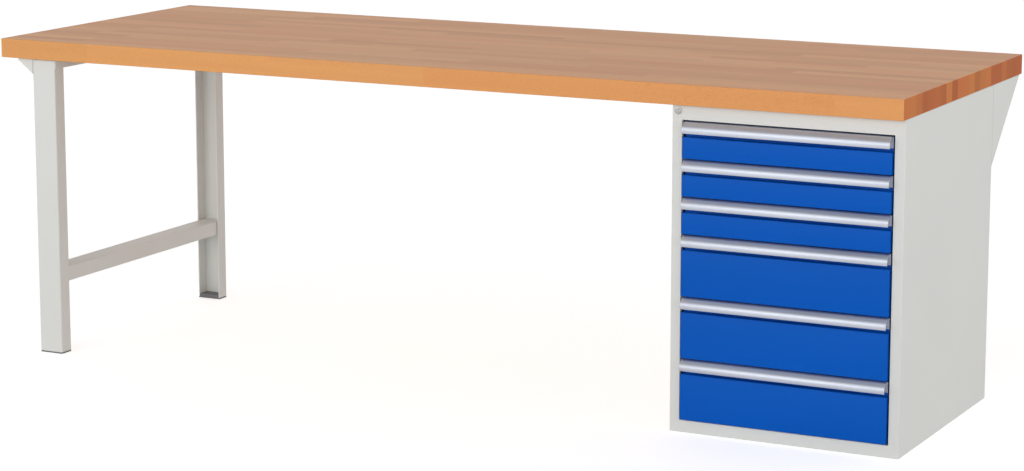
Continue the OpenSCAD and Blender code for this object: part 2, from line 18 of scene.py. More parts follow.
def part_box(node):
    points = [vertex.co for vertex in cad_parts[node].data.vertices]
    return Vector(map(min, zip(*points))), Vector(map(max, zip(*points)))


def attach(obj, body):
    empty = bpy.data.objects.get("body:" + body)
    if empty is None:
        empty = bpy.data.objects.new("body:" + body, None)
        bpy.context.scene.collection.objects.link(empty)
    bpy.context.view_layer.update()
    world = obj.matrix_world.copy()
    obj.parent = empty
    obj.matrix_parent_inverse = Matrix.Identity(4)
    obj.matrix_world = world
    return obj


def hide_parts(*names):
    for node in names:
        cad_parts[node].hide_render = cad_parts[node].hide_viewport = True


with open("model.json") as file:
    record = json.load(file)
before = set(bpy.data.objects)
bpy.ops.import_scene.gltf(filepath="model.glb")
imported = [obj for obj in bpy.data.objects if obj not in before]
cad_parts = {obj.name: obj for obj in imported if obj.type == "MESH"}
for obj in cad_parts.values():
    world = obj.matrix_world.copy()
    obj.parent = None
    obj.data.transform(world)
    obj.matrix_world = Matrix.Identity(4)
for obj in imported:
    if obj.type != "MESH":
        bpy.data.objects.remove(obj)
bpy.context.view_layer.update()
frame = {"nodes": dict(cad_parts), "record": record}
nodes = frame["nodes"]
MM = 0.001
SAME = 1e-6  # two places nearer to each other than this count as one
DRAWERS = range(1, 7)

# %% [markdown]
# ## Camera, floor and light
# A bench like this is best seen through a long lens from a little above the worktop, where its lines stay
# almost parallel. The camera stands in front of the bench, to the right of its middle, and looks to the
# left. It is aimed with two angles, a heading and a tilt, because those are what a tripod head is set by.

# %% Camera
HEADING, TILT = math.radians(26.92), math.radians(9.92)
camera_data = bpy.data.cameras.new("camera")
camera_data.lens = 100
camera_data.sensor_width = 36
camera_data.shift_y = -0.0488
camera_data.dof.use_dof = False
camera = bpy.data.objects.new("camera", camera_data)
camera.location = (3.329, -6.490, 1.750)
camera.rotation_euler = (math.pi / 2 - TILT, 0, HEADING)
bpy.context.scene.collection.objects.link(camera)
bpy.context.scene.camera = camera
print("camera distance to the bench:", round(camera.location.length, 2), "m")

# %% [markdown]
# The bench stands on a pale floor in a light tent, as small products do: cloth all round it that is bright
# near the horizon and dimmer overhead. So every side gets nearly the same light, the top gets less, and a
# polished edge mirrors the difference. A soft box beside the camera lifts the fronts, and a low one at the
# right lifts the cabinet's side, while the cabinet keeps its light from the legs. The bench should stand on
# plain white, so to the camera the floor glows a little. To the bench it is only a pale grey floor, and so
# the undersides and the inner sides of the legs stay in shade.
# The view transform is Standard, because it shows a paint's colour as it was mixed.


# %% Colours, studio and lights
def to_linear(hex_colour):
    """An sRGB colour such as "D8D9D4" as the linear RGBA that a shader takes."""
    values = [int(hex_colour[i : i + 2], 16) / 255 for i in (0, 2, 4)]
    return tuple(v / 12.92 if v <= 0.04045 else ((v + 0.055) / 1.055) ** 2.4 for v in values) + (1,)


def add_node(tree, kind, inputs=None, **settings):
    """Adds a node. settings are its own properties; inputs are values, or sockets to link from."""
    node = tree.nodes.new(kind)
    for name, value in settings.items():
        setattr(node, name, value)
    for name, value in (inputs or {}).items():
        if isinstance(value, bpy.types.NodeSocket):
            tree.links.new(value, node.inputs[name])
        else:
            node.inputs[name].default_value = value
    return node


def soft_box(name, place, aim, size, watts):
    """A rectangular area light that stands at place and points at aim."""
    light = bpy.data.lights.new(name, "AREA")
    light.shape = "RECTANGLE"
    light.size, light.size_y = size
    light.energy = watts
    lamp = bpy.data.objects.new(name, light)
    lamp.location = place
    lamp.rotation_euler = (Vector(aim) - Vector(place)).to_track_quat("-Z", "Y").to_euler()
    bpy.context.scene.collection.objects.link(lamp)


def build_tent(horizon=1.15, overhead=0.15):
    """Surroundings that are bright near the horizon and dimmer overhead."""
    world = bpy.data.worlds.new("light_tent")
    world.use_nodes = True
    tree = world.node_tree
    direction = add_node(tree, "ShaderNodeTexCoord").outputs["Generated"]
    height = add_node(tree, "ShaderNodeSeparateXYZ", {"Vector": direction}).outputs["Z"]
    dimmed = add_node(tree, "ShaderNodeMapRange", {"Value": height, "From Min": 0.15, "From Max": 1.0,
                                                   "To Min": horizon, "To Max": overhead})
    tree.links.new(dimmed.outputs["Result"], tree.nodes["Background"].inputs["Strength"])
    tree.nodes["Background"].inputs["Color"].default_value = to_linear("FFFFFF")
    bpy.context.scene.world = world


def build_floor(reach=40, grey=0.78, glow=0.05, camera_grey=0.9, camera_glow=0.52):
    """A floor that looks white to the camera, but lights the bench only as a pale grey one does."""
    mesh = bpy.data.meshes.new("floor")
    corners = [(-reach, -reach, 0), (reach, -reach, 0), (reach, reach, 0), (-reach, reach, 0)]
    mesh.from_pydata(corners, [], [(0, 1, 2, 3)])
    floor = bpy.data.objects.new("floor", mesh)
    bpy.context.scene.collection.objects.link(floor)
    paint = bpy.data.materials.new("studio_floor")
    paint.use_nodes = True
    tree = paint.node_tree
    shader = tree.nodes["Principled BSDF"]
    shader.inputs["Roughness"].default_value = 0.8
    shader.inputs["Emission Color"].default_value = to_linear("FFFFFF")
    seen = add_node(tree, "ShaderNodeLightPath").outputs["Is Camera Ray"]
    shade = add_node(tree, "ShaderNodeMapRange", {"Value": seen, "To Min": grey, "To Max": camera_grey})
    shine = add_node(tree, "ShaderNodeMapRange", {"Value": seen, "To Min": glow, "To Max": camera_glow})
    tree.links.new(shade.outputs["Result"], shader.inputs["Base Color"])
    tree.links.new(shine.outputs["Result"], shader.inputs["Emission Strength"])
    mesh.materials.append(paint)


build_tent()
build_floor()
soft_box("front_box", (-1.5, -7.5, 2.3), (0, 0, 0.45), (9, 4.4), 155)
soft_box("side_box", (6.0, -0.8, 0.75), (1.2, 0, 0.45), (4, 1.4), 40)
bpy.context.scene.view_settings.view_transform = "Standard"

# %% [markdown]
# ## Finishes
# Each finish starts from what the real one is. All of them read Object coordinates, and since every
# piece has its origin at the frame's origin, one pattern runs on from piece to piece.
# A powder coat is paint that was melted on as dust: it is never quite flat, and has a fine orange peel.
# That peel is about 1 mm across on the real sheet and is drawn at 2 mm here, so that it still shows.


# %% Powder coats
def new_finish(name, colour, roughness, metallic=0.0):
    """A material with its shader, its node tree, and the Object coordinates."""
    material = bpy.data.materials.new(name)
    material.use_nodes = True
    tree = material.node_tree
    shader = tree.nodes["Principled BSDF"]
    shader.inputs["Base Color"].default_value = to_linear(colour)
    shader.inputs["Roughness"].default_value = roughness
    shader.inputs["Metallic"].default_value = metallic
    coords = add_node(tree, "ShaderNodeTexCoord").outputs["Object"]
    return material, tree, shader, coords


def tint_and_gloss(tree, shader, coords, size, darker, lighter, rough_low, rough_high):
    """Cloudy changes of tone and gloss about size metres across."""
    cloud = add_node(tree, "ShaderNodeTexNoise", {"Vector": coords, "Scale": 1 / size, "Detail": 5.0})
    mix = add_node(tree, "ShaderNodeMix", {"Factor": cloud.outputs["Fac"]}, data_type="RGBA")
    mix.inputs["A"].default_value = to_linear(darker)
    mix.inputs["B"].default_value = to_linear(lighter)
    tree.links.new(mix.outputs["Result"], shader.inputs["Base Color"])
    gloss = add_node(tree, "ShaderNodeMapRange", {"Value": cloud.outputs["Fac"], "To Min": rough_low,
                                                  "To Max": rough_high})
    tree.links.new(gloss.outputs["Result"], shader.inputs["Roughness"])


def powder_coat(name, darker, lighter, rough_low, rough_high, peel, shine=0.5):
    """Powder-coated sheet steel with an orange peel of the given bump strength."""
    material, tree, shader, coords = new_finish(name, lighter, rough_low)
    tint_and_gloss(tree, shader, coords, 0.35, darker, lighter, rough_low, rough_high)
    grain = add_node(tree, "ShaderNodeTexNoise", {"Vector": coords, "Scale": 1 / (2 * MM), "Detail": 2.0})
    relief = add_node(tree, "ShaderNodeBump", {"Height": grain.outputs["Fac"], "Strength": peel,
                                               "Distance": 0.2 * MM})
    tree.links.new(relief.outputs["Normal"], shader.inputs["Normal"])
    shader.inputs["Specular IOR Level"].default_value = shine
    return material


light_grey = powder_coat("light_grey_powder_coat", "DBDCD8", "E2E2DE", 0.42, 0.52, 0.25)
gentian_blue = powder_coat("gentian_blue_powder_coat", "0055B8", "005CC2", 0.36, 0.44, 0.15, shine=0.1)
print("powder coats:", light_grey.name, gentian_blue.name)

# %% [markdown]
# Metals that stay bare. The grips are extruded aluminium, which keeps faint lines along its length from
# the die, then is etched and anodised to an even satin. The slides and screws are zinc-plated steel:
# zinc grows in small crystals, so its gloss changes in patches of about a centimetre.
# The lock is satin nickel.


# %% Bare metals
def drawn_lines(tree, shader, coords, across, along, strength, distance):
    """Fine lines along X: noise that is long in X and narrow in the other two directions."""
    stretch = add_node(tree, "ShaderNodeMapping", {"Vector": coords})
    stretch.inputs["Scale"].default_value = (1 / along, 1 / across, 1 / across)
    lines = add_node(tree, "ShaderNodeTexNoise", {"Vector": stretch.outputs["Vector"], "Scale": 1.0,
                                                  "Detail": 3.0})
    relief = add_node(tree, "ShaderNodeBump", {"Height": lines.outputs["Fac"], "Strength": strength,
                                               "Distance": distance})
    tree.links.new(relief.outputs["Normal"], shader.inputs["Normal"])


def anodised_aluminium():
    """Extruded aluminium, etched and anodised: an even satin with faint lines along its length."""
    material, tree, shader, coords = new_finish("satin_anodised_aluminium", "D2D7E2", 0.5, metallic=1.0)
    tint_and_gloss(tree, shader, coords, 0.2, "CDD2DD", "DADFE9", 0.48, 0.56)
    drawn_lines(tree, shader, coords, 0.8 * MM, 120 * MM, 0.2, 0.1 * MM)
    return material


def zinc_plate():
    """Zinc on steel: its crystals make the gloss change in patches."""
    material, tree, shader, coords = new_finish("zinc_plated_steel", "B9BDC1", 0.36, metallic=1.0)
    tint_and_gloss(tree, shader, coords, 0.012, "A4A8AC", "C6CACE", 0.28, 0.48)
    return material


def satin_nickel():
    """Brushed and plated: nearly even, and smoother than the zinc."""
    material, tree, shader, coords = new_finish("satin_nickel", "BDBBB8", 0.25, metallic=1.0)
    tint_and_gloss(tree, shader, coords, 0.004, "B0AEAB", "C6C4C1", 0.2, 0.32)
    return material


def moulded_plastic():
    """Polyamide from a spark-eroded mould: mid grey, with a fine even grain."""
    material, tree, shader, coords = new_finish("grey_moulded_polyamide", "6E7072", 0.55)
    tint_and_gloss(tree, shader, coords, 0.02, "66686A", "76787A", 0.5, 0.62)
    grain = add_node(tree, "ShaderNodeTexNoise", {"Vector": coords, "Scale": 1 / MM, "Detail": 1.0})
    relief = add_node(tree, "ShaderNodeBump", {"Height": grain.outputs["Fac"], "Strength": 0.3,
                                               "Distance": 0.1 * MM})
    tree.links.new(relief.outputs["Normal"], shader.inputs["Normal"])
    return material


aluminium, zinc = anodised_aluminium(), zinc_plate()
nickel, polyamide = satin_nickel(), moulded_plastic()
print("metals and plastic:", aluminium.name, zinc.name, nickel.name, polyamide.name)

# %% [markdown]
# ## Beech
# Steamed, oiled beech is a warm pinkish tan. A stave shows long soft bands of early and late wood and,
# all over, short dark rays only 1 to 3 mm long. Each stave comes from another tree, so each has its own
# tone and its own grain. The mesh of the worktop tells the finish which stave a face belongs to: the colour
# attribute "stave" holds three random numbers, for its tone, for its warmth and for the place of its grain.
# At the ends the staves are cut across, and there the wood drinks more oil: it is redder and darker, and
# shows the yearly rings as arcs.


# %% Beech, along and across the grain
def stave_numbers(tree):
    """The three random numbers of a stave, as three sockets."""
    attribute = add_node(tree, "ShaderNodeAttribute", attribute_name="stave")
    split = add_node(tree, "ShaderNodeSeparateColor", {"Color": attribute.outputs["Color"]})
    return [split.outputs[name] for name in ("Red", "Green", "Blue")]


def shifted(tree, coords, number, distance):
    """Coordinates that each stave moves by its own number, so that no grain runs over a joint."""
    furthest = (distance, distance * 0.7, distance * 0.4)
    offset = add_node(tree, "ShaderNodeVectorMath", {0: furthest, "Scale": number}, operation="SCALE")
    return add_node(tree, "ShaderNodeVectorMath", {0: coords, 1: offset.outputs["Vector"]}).outputs["Vector"]


def stave_tone(tree, tone, warmth, dark, light, warm, warmest=0.45):
    """The stave's own colour: from dark to light, leaning to the warm colour by warmest at most."""
    base = add_node(tree, "ShaderNodeMix", {"Factor": tone}, data_type="RGBA")
    base.inputs["A"].default_value = to_linear(dark)
    base.inputs["B"].default_value = to_linear(light)
    part = add_node(tree, "ShaderNodeMath", {0: warmth, 1: warmest}, operation="MULTIPLY")
    mix = add_node(tree, "ShaderNodeMix", {"Factor": part.outputs[0]}, data_type="RGBA")
    tree.links.new(base.outputs["Result"], mix.inputs["A"])
    mix.inputs["B"].default_value = to_linear(warm)
    return mix.outputs["Result"]


def darkened(tree, colour, amount, strength, shade):
    """Mixes a shade into a colour where amount is high."""
    part = add_node(tree, "ShaderNodeMath", {0: amount, 1: strength}, operation="MULTIPLY")
    mix = add_node(tree, "ShaderNodeMix", {"Factor": part.outputs[0]}, data_type="RGBA")
    tree.links.new(colour, mix.inputs["A"])
    mix.inputs["B"].default_value = to_linear(shade)
    return mix.outputs["Result"]


def beech_long_grain():
    """Beech along the grain: soft bands about 20 mm wide, and dark rays 7 mm long to show at a distance."""
    material, tree, shader, coords = new_finish("oiled_beech_long_grain", "D79A58", 0.46)
    tone, warmth, place = stave_numbers(tree)
    moved = shifted(tree, coords, place, 3.0)
    colour = stave_tone(tree, tone, warmth, "D48A44", "EEAE66", "E68E48")
    bands = add_node(tree, "ShaderNodeMapping", {"Vector": moved})
    bands.inputs["Scale"].default_value = (1 / 0.9, 1 / 0.02, 1 / 0.02)
    band = add_node(tree, "ShaderNodeTexNoise", {"Vector": bands.outputs["Vector"], "Scale": 1.0,
                                                 "Detail": 4.0, "Distortion": 0.4})
    colour = darkened(tree, colour, band.outputs["Fac"], 0.3, "C4763A")
    rays = add_node(tree, "ShaderNodeMapping", {"Vector": moved})
    rays.inputs["Scale"].default_value = (1 / (7 * MM), 1 / (1.2 * MM), 1 / (1.2 * MM))
    ray = add_node(tree, "ShaderNodeTexNoise", {"Vector": rays.outputs["Vector"], "Scale": 1.0})
    flecks = add_node(tree, "ShaderNodeMapRange", {"Value": ray.outputs["Fac"], "From Min": 0.58,
                                                   "From Max": 0.68})
    colour = darkened(tree, colour, flecks.outputs["Result"], 0.3, "A0632E")
    tree.links.new(colour, shader.inputs["Base Color"])
    relief = add_node(tree, "ShaderNodeBump", {"Height": ray.outputs["Fac"], "Strength": 0.1,
                                               "Distance": 0.15 * MM})
    tree.links.new(relief.outputs["Normal"], shader.inputs["Normal"])
    return material


def beech_end_grain():
    """Beech cut across: redder and darker, with arcs of yearly rings drawn 14 mm apart."""
    material, tree, shader, coords = new_finish("oiled_beech_end_grain", "B07444", 0.6)
    tone, warmth, place = stave_numbers(tree)
    moved = shifted(tree, coords, place, 0.6)
    colour = stave_tone(tree, tone, warmth, "AC581E", "DA863A", "C65A22")
    ring = add_node(tree, "ShaderNodeTexWave", {"Vector": moved, "Scale": 1 / (14 * MM), "Distortion": 1.5,
                                                "Detail": 2.0}, wave_type="RINGS", rings_direction="X")
    colour = darkened(tree, colour, ring.outputs["Fac"], 0.3, "77401C")
    tree.links.new(colour, shader.inputs["Base Color"])
    relief = add_node(tree, "ShaderNodeBump", {"Height": ring.outputs["Fac"], "Strength": 0.15,
                                               "Distance": 0.2 * MM})
    tree.links.new(relief.outputs["Normal"], shader.inputs["Normal"])
    shader.inputs["Specular IOR Level"].default_value = 0.35
    return material


long_grain, end_grain = beech_long_grain(), beech_end_grain()
print("wood:", long_grain.name, end_grain.name)

# %% [markdown]
# ## The pieces that keep their shape
# Folded sheet, channels, plates and screws already have their true shape in the frame, so they only get
# their finish. The record says which finish slot a node takes, and one table turns slots into materials.

# %% Finish every node of the frame
finishes = {
    "beech": long_grain,
    "light_grey_paint": light_grey,
    "blue_enamel": gentian_blue,
    "anodised_aluminium": aluminium,
    "zinc_steel": zinc,
    "lock_chrome": nickel,
    "foot_plastic": polyamide,
}
for part in frame["record"]["subparts"]:
    mesh = nodes[part["node"]].data
    mesh.materials.clear()
    mesh.materials.append(finishes[part["material_slot"]])

# %% [markdown]
# ## The worktop
# The worktop is glued up from staves about 43 mm wide, each row a chain of staves with butt joints that
# never line up with the next row's. It could be one pattern on a plain box, but then the joints would not
# go round the edge. Here the slab itself is cut: one plane for each glue line, and in each row one short
# plane for each butt joint. The slab stays a single closed mesh, its front edge shows the first row's joints,
# and its end shows one block for each row.


# %% Cut the worktop into staves
def cut(bm, faces, point, normal):
    """Cuts the given faces by a plane, and keeps both sides."""
    geometry = set(faces)
    for face in faces:
        geometry.update(face.edges)
        geometry.update(face.verts)
    bmesh.ops.bisect_plane(bm, geom=list(geometry), plane_co=point, plane_no=normal, dist=1e-7)


def box_mesh(low, high):
    """A closed box between two corners, as a bmesh."""
    bm = bmesh.new()
    bmesh.ops.create_cube(bm, size=1)
    for vertex in bm.verts:
        vertex.co = [low[i] + (high[i] - low[i]) * (vertex.co[i] + 0.5) for i in range(3)]
    return bm


def new_piece(name, bm, materials):
    """Makes a bmesh an object of the scene, with its finish. The bmesh is used up."""
    mesh = bpy.data.meshes.new(name)
    bm.to_mesh(mesh)
    bm.free()
    for material in materials:
        mesh.materials.append(material)
    piece = bpy.data.objects.new(name, mesh)
    bpy.context.scene.collection.objects.link(piece)
    return piece


def hand_over(piece, body, replaced=()):
    """Gives a finished piece to the frame: its body and the nodes that it stands for."""
    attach(piece, body)
    if replaced:
        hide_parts(*replaced)


def build_worktop(rows=21, stave_length=0.5, shortest=0.14, ease=1.5 * MM, seed=3589, end_facing=0.9):
    """The slab of staves, with the numbers of each stave in the attribute "stave".
    A face whose normal has more than end_facing along X shows end grain."""
    rng = random.Random(seed)
    low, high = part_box("worktop")
    bm = box_mesh(low, high)
    bmesh.ops.bevel(bm, geom=bm.edges[:], offset=ease, segments=3, profile=0.5, affect="EDGES")
    row_width = (high.y - low.y) / rows
    for row in range(1, rows):
        cut(bm, bm.faces[:], (0, low.y + row * row_width, 0), (0, 1, 0))
    stave = bm.loops.layers.float_color.new("stave")
    joints = []
    for row in range(rows):
        x = low.x + rng.uniform(0.3, 1.0) * stave_length
        ends = []
        while x < high.x - shortest:
            ends.append(x)
            x += rng.uniform(0.75, 1.25) * stave_length
        joints.append(ends)
        y_from, y_to = low.y + row * row_width, low.y + (row + 1) * row_width
        for end in ends:
            in_row = [f for f in bm.faces if y_from - SAME < f.calc_center_median().y < y_to + SAME]
            cut(bm, in_row, (end, 0, 0), (1, 0, 0))
    numbers = {}
    for face in bm.faces:
        centre = face.calc_center_median()
        row = min(rows - 1, max(0, int((centre.y - low.y) / row_width)))
        place = sum(centre.x > end for end in joints[row])
        key = (row, place)
        if key not in numbers:
            own = random.Random(seed * 1000 + row * 31 + place)
            numbers[key] = (own.random(), own.random(), own.random(), 1)
        for loop in face.loops:
            loop[stave] = numbers[key]
        face.material_index = int(abs(face.normal.x) > end_facing)
    print("worktop:", rows, "rows,", len(numbers), "staves,", len(bm.faces), "faces")
    hand_over(new_piece("worktop_staves", bm, [long_grain, end_grain]), "bench", ["worktop"])


build_worktop()

# %% [markdown]
# ## Drawer fronts
# A front is a pan: a sheet of 1.2 mm steel folded back on all four sides, so every edge is a soft bend
# and catches a thin line of light. A plain box with sharp edges never does. The pan is made as a box that
# has lost its back, its edges are rounded, and Solidify gives the sheet its thickness. Its upper fold turns
# up again at the back: that makes the recess for the fingers, a dark blue line under each grip.


# %% Fold the drawer fronts
def smooth(mesh, angle=35):
    """Shades the bends smooth and leaves the edges sharper than angle."""
    mesh.polygons.foreach_set("use_smooth", [True] * len(mesh.polygons))
    mesh.set_sharp_from_angle(angle=math.radians(angle))


def apply_modifiers(piece):
    """Turns a piece and its modifiers into one plain mesh."""
    shape = piece.evaluated_get(bpy.context.evaluated_depsgraph_get())
    mesh = bpy.data.meshes.new_from_object(shape)
    piece.modifiers.clear()
    piece.data = mesh
    smooth(mesh)


def give_thickness(piece, thickness, offset=-1.0, rounding=0.0, sharper_than=50):
    """Gives a sheet its wall, and rounds its cut edges, those that are sharper_than so many degrees."""
    wall = piece.modifiers.new("wall", "SOLIDIFY")
    wall.thickness = thickness
    wall.offset = offset
    wall.use_even_offset = True
    if rounding:
        edge = piece.modifiers.new("rounding", "BEVEL")
        edge.width = rounding
        edge.segments = 2
        edge.limit_method = "ANGLE"
        edge.angle_limit = math.radians(sharper_than)
    apply_modifiers(piece)


def build_pan(number, bend=1.6 * MM, sheet=1.2 * MM, recess=36 * MM):
    """One blue pan, open at the back, with its recess."""
    node = f"drawer_{number}_front"
    low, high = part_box(node)
    ledge = high.z - recess
    bm = box_mesh(low, (high.x, high.y, ledge))
    bends = [e for e in bm.edges if min(v.co.y for v in e.verts) < low.y + SAME]
    bmesh.ops.bevel(bm, geom=bends, offset=bend, segments=4, profile=0.5, affect="EDGES")
    back = [f for f in bm.faces if f.calc_center_median().y > high.y - SAME]
    bmesh.ops.delete(bm, geom=back, context="FACES")
    rim = [v for v in bm.verts if v.co.y > high.y - SAME and v.co.z > ledge - SAME]
    rim.sort(key=lambda v: v.co.x)
    for vertex in rim:
        vertex.co.y -= sheet
    upper = [bm.verts.new((v.co.x, v.co.y, high.z)) for v in rim]
    bm.faces.new((rim[0], rim[-1], upper[-1], upper[0]))
    piece = new_piece(f"drawer_{number}_pan", bm, [gentian_blue])
    give_thickness(piece, sheet)
    hand_over(piece, f"drawer_{number}", [node])
    return piece


for number in DRAWERS:
    pan = build_pan(number)
print("pan of drawer 6:", len(pan.data.polygons), "faces")

# %% [markdown]
# ## Grip strips
# Each grip is an aluminium extrusion as long as its drawer is wide: a wall behind, a flat top, a
# long soft bend down to the nose and a lip that fingers reach behind. An extrusion has one section all along,
# so it is drawn as one bent line, its corners are turned into arcs, the line is pulled along X, and
# Solidify gives it 2 mm of wall. The bend mirrors the tent from its dim roof down to its bright horizon, and
# that is why the real strip runs from grey at the top to white below.


# %% Draw and pull the grips
def rounded_line(corners, radii, steps=8):
    """A bent line in a plane. Each inner corner becomes an arc of its own radius."""
    points = [Vector(corner) for corner in corners]
    line = [points[0]]
    for before, corner, after, radius in zip(points, points[1:], points[2:], radii):
        one, two = (before - corner).normalized(), (after - corner).normalized()
        half = one.angle(two) / 2
        centre = corner + (one + two).normalized() * (radius / math.sin(half))
        reach = radius / math.tan(half)
        start, end = corner + one * reach - centre, corner + two * reach - centre
        line += [centre + start.slerp(end, step / steps) * radius for step in range(steps + 1)]
    return line + [points[-1]]


def pull(bm, line, x_from, x_to):
    """A sheet: the line at x_from joined to the same line at x_to."""
    first = [bm.verts.new((x_from, y, z)) for y, z in line]
    last = [bm.verts.new((x_to, y, z)) for y, z in line]
    for k in range(len(line) - 1):
        bm.faces.new((first[k], last[k], last[k + 1], first[k + 1]))
    bmesh.ops.recalc_face_normals(bm, faces=bm.faces[:])


def build_grip(number, wall=2 * MM, slope=13 * MM, lip=26 * MM, nose_bend=13 * MM, back_bend=1.5 * MM):
    """One grip strip, from the bent line through the middle of its wall."""
    node = f"drawer_{number}_grip"
    low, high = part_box(node)
    back, nose, top = high.y - wall / 2, low.y + wall / 2, high.z - wall / 2
    corners = [(back, low.z), (back, top), (nose + slope - wall / 2, top),
               (nose, top - slope + wall / 2), (nose, high.z - lip)]
    line = rounded_line(corners, [back_bend, nose_bend, nose_bend])
    bm = bmesh.new()
    pull(bm, line, low.x, high.x)
    piece = new_piece(f"drawer_{number}_grip_strip", bm, [aluminium])
    give_thickness(piece, wall, offset=0.0, rounding=0.3 * MM)
    hand_over(piece, f"drawer_{number}", [node])
    return piece


for number in DRAWERS:
    grip = build_grip(number)
print("grip of drawer 6:", len(grip.data.polygons), "faces")

# %% [markdown]
# ## Drawer trays
# Behind its front a drawer is a tray of 1.2 mm sheet. Its walls have rows of upright slots, into which a user
# hooks dividers, and their upper edges are folded in so that nobody cuts a hand. A slot is real, light falls
# through it, so it has to be a hole in the mesh. Cutting 80 holes with Boolean would be slow and leave
# slivers. Instead each wall is laid out as cells between slot edges, and the slots' cells are left out.


# %% Lay out the trays
def slotted_wall(bm, corner, along, up, spans, rows):
    """Lays cells over a wall and leaves out every second one in the slotted rows."""
    grid = [[bm.verts.new(corner + along * a + up * b) for b, _ in rows] for a in spans]
    for i in range(len(spans) - 1):
        for j in range(len(rows) - 1):
            in_slot = rows[j][1] and i % 2 == 1
            if not in_slot:
                bm.faces.new((grid[i][j], grid[i + 1][j], grid[i + 1][j + 1], grid[i][j + 1]))
    return grid


def slot_spans(length, pitch, width):
    """Where the slots' edges lie along a wall, with both of its ends."""
    count = round(length / pitch)
    edges = [0.0]
    for k in range(count):
        middle = (k + 0.5) * length / count
        edges += [middle - width / 2, middle + width / 2]
    return edges + [length]


def slot_rows(height, margin, slot_height):
    """Where the rows of slots begin and end, and whether each stretch is slotted."""
    count = max(1, round((height - margin) / (slot_height + margin)))
    real_height = (height - (count + 1) * margin) / count
    rows = [(0.0, False)]
    for k in range(count):
        start = margin + k * (real_height + margin)
        rows += [(start, True), (start + real_height, False)]
    return rows + [(height, False)]


def build_catch(number, left, sheet, ease=0.3 * MM, clear=0.1 * MM):
    """The small block on the tray's left wall that a lug of the locking bar drops in front of."""
    catch = [v.co for v in nodes[f"drawer_{number}_box"].data.vertices if v.co.x < left - clear]
    bm = box_mesh([min(c[i] for c in catch) for i in range(3)],
                  [left + sheet, max(c.y for c in catch), max(c.z for c in catch)])
    bmesh.ops.bevel(bm, geom=bm.edges[:], offset=ease, segments=2, profile=0.5, affect="EDGES")
    hand_over(new_piece(f"drawer_{number}_catch", bm, [light_grey]), f"drawer_{number}")


def build_tray(number, pitch=25 * MM, slot=3 * MM, slot_height=32 * MM, margin=12 * MM, hem=5 * MM,
               sheet=1.2 * MM):
    """One slotted tray with a closed floor and folded rims."""
    node = f"drawer_{number}_box"
    low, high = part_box(node)
    front_low, front_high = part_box(f"drawer_{number}_front")
    left = front_low.x + front_high.x - high.x
    width, depth, height = high.x - left, high.y - low.y, high.z - low.z
    rows = slot_rows(height, margin, slot_height)
    x, y, z = Vector((1, 0, 0)), Vector((0, 1, 0)), Vector((0, 0, 1))
    sides = [(Vector((left, low.y, low.z)), x, width), (Vector((high.x, low.y, low.z)), y, depth),
             (Vector((high.x, high.y, low.z)), -x, width), (Vector((left, high.y, low.z)), -y, depth)]
    bm = bmesh.new()
    floor_edge, hems = [], []
    for k, (corner, along, length) in enumerate(sides):
        grid = slotted_wall(bm, corner, along, z, slot_spans(length, pitch, slot), rows)
        floor_edge += [column[0] for column in grid[:-1]]
        inward = sides[(k + 1) % 4][1]
        inner = [bm.verts.new(corner + along * a + inward * hem + z * height) for a in (length - hem, hem)]
        turned = [bm.verts.new(v.co - z * hem) for v in inner]
        hems.append(([column[-1] for column in grid], inner, turned))
    for top, inner, turned in hems:
        bm.faces.new(top + inner)
        bm.faces.new((inner[1], inner[0], turned[0], turned[1]))
    bmesh.ops.remove_doubles(bm, verts=bm.verts[:], dist=SAME)
    bm.faces.new([v for v in floor_edge if v.is_valid][::-1])
    bmesh.ops.recalc_face_normals(bm, faces=bm.faces[:])
    piece = new_piece(f"drawer_{number}_tray", bm, [light_grey])
    give_thickness(piece, sheet)
    hand_over(piece, f"drawer_{number}", [node])
    build_catch(number, left, sheet)
    return piece


for number in DRAWERS:
    tray = build_tray(number)
print("tray of drawer 6:", len(tray.data.polygons), "faces")

# %% [markdown]
# ## The posts that carry the slides
# The slides hang in square holes, punched every 15 mm in four upright channels, so that a maker can set any
# row of drawers in one cabinet. They are laid out like the trays' walls, with the cells running upwards.


# %% Punch the slide posts
def solid_boxes(node):
    """The lowest and highest corner of each separate solid of a node."""
    bm = bmesh.new()
    bm.from_mesh(nodes[node].data)
    bmesh.ops.remove_doubles(bm, verts=bm.verts[:], dist=SAME)
    left, boxes = set(bm.verts), []
    while left:
        group, queue = set(), [left.pop()]
        while queue:
            vertex = queue.pop()
            group.add(vertex.co.copy().freeze())
            near = {e.other_vert(vertex) for e in vertex.link_edges} & left
            left -= near
            queue += near
        boxes.append([Vector([pick(c[i] for c in group) for i in range(3)]) for pick in (min, max)])
    bm.free()
    return boxes


def build_posts(side, pitch=15 * MM, hole=6 * MM, sheet=1.5 * MM):
    """The two punched channels on one side of the cabinet."""
    node = f"{side}_slide_posts"
    bm = bmesh.new()
    for low, high in solid_boxes(node):
        web, back = (high.x, low.x) if side == "left" else (low.x, high.x)
        width, height = high.y - low.y, high.z - low.z
        spans = slot_spans(height, pitch, hole)
        rows = [(0.0, False), (width / 2 - hole / 2, True), (width / 2 + hole / 2, False), (width, False)]
        up, across = Vector((0, 0, 1)), Vector((0, 1, 0))
        slotted_wall(bm, Vector((web, low.y, low.z)), up, across, spans, rows)
        for y in (low.y, high.y):
            corner = Vector((web, y, low.z))
            inward = Vector((back - web, 0, 0))
            slotted_wall(bm, corner, up, inward, spans, [(0.0, False), (1.0, False)])
    bmesh.ops.remove_doubles(bm, verts=bm.verts[:], dist=SAME)
    bmesh.ops.recalc_face_normals(bm, faces=bm.faces[:])
    piece = new_piece(f"{side}_punched_posts", bm, [zinc])
    give_thickness(piece, sheet)
    hand_over(piece, "bench", [node])
    return piece


for side in ("left", "right"):
    posts = build_posts(side)
print("posts:", len(posts.data.polygons), "faces on each side")

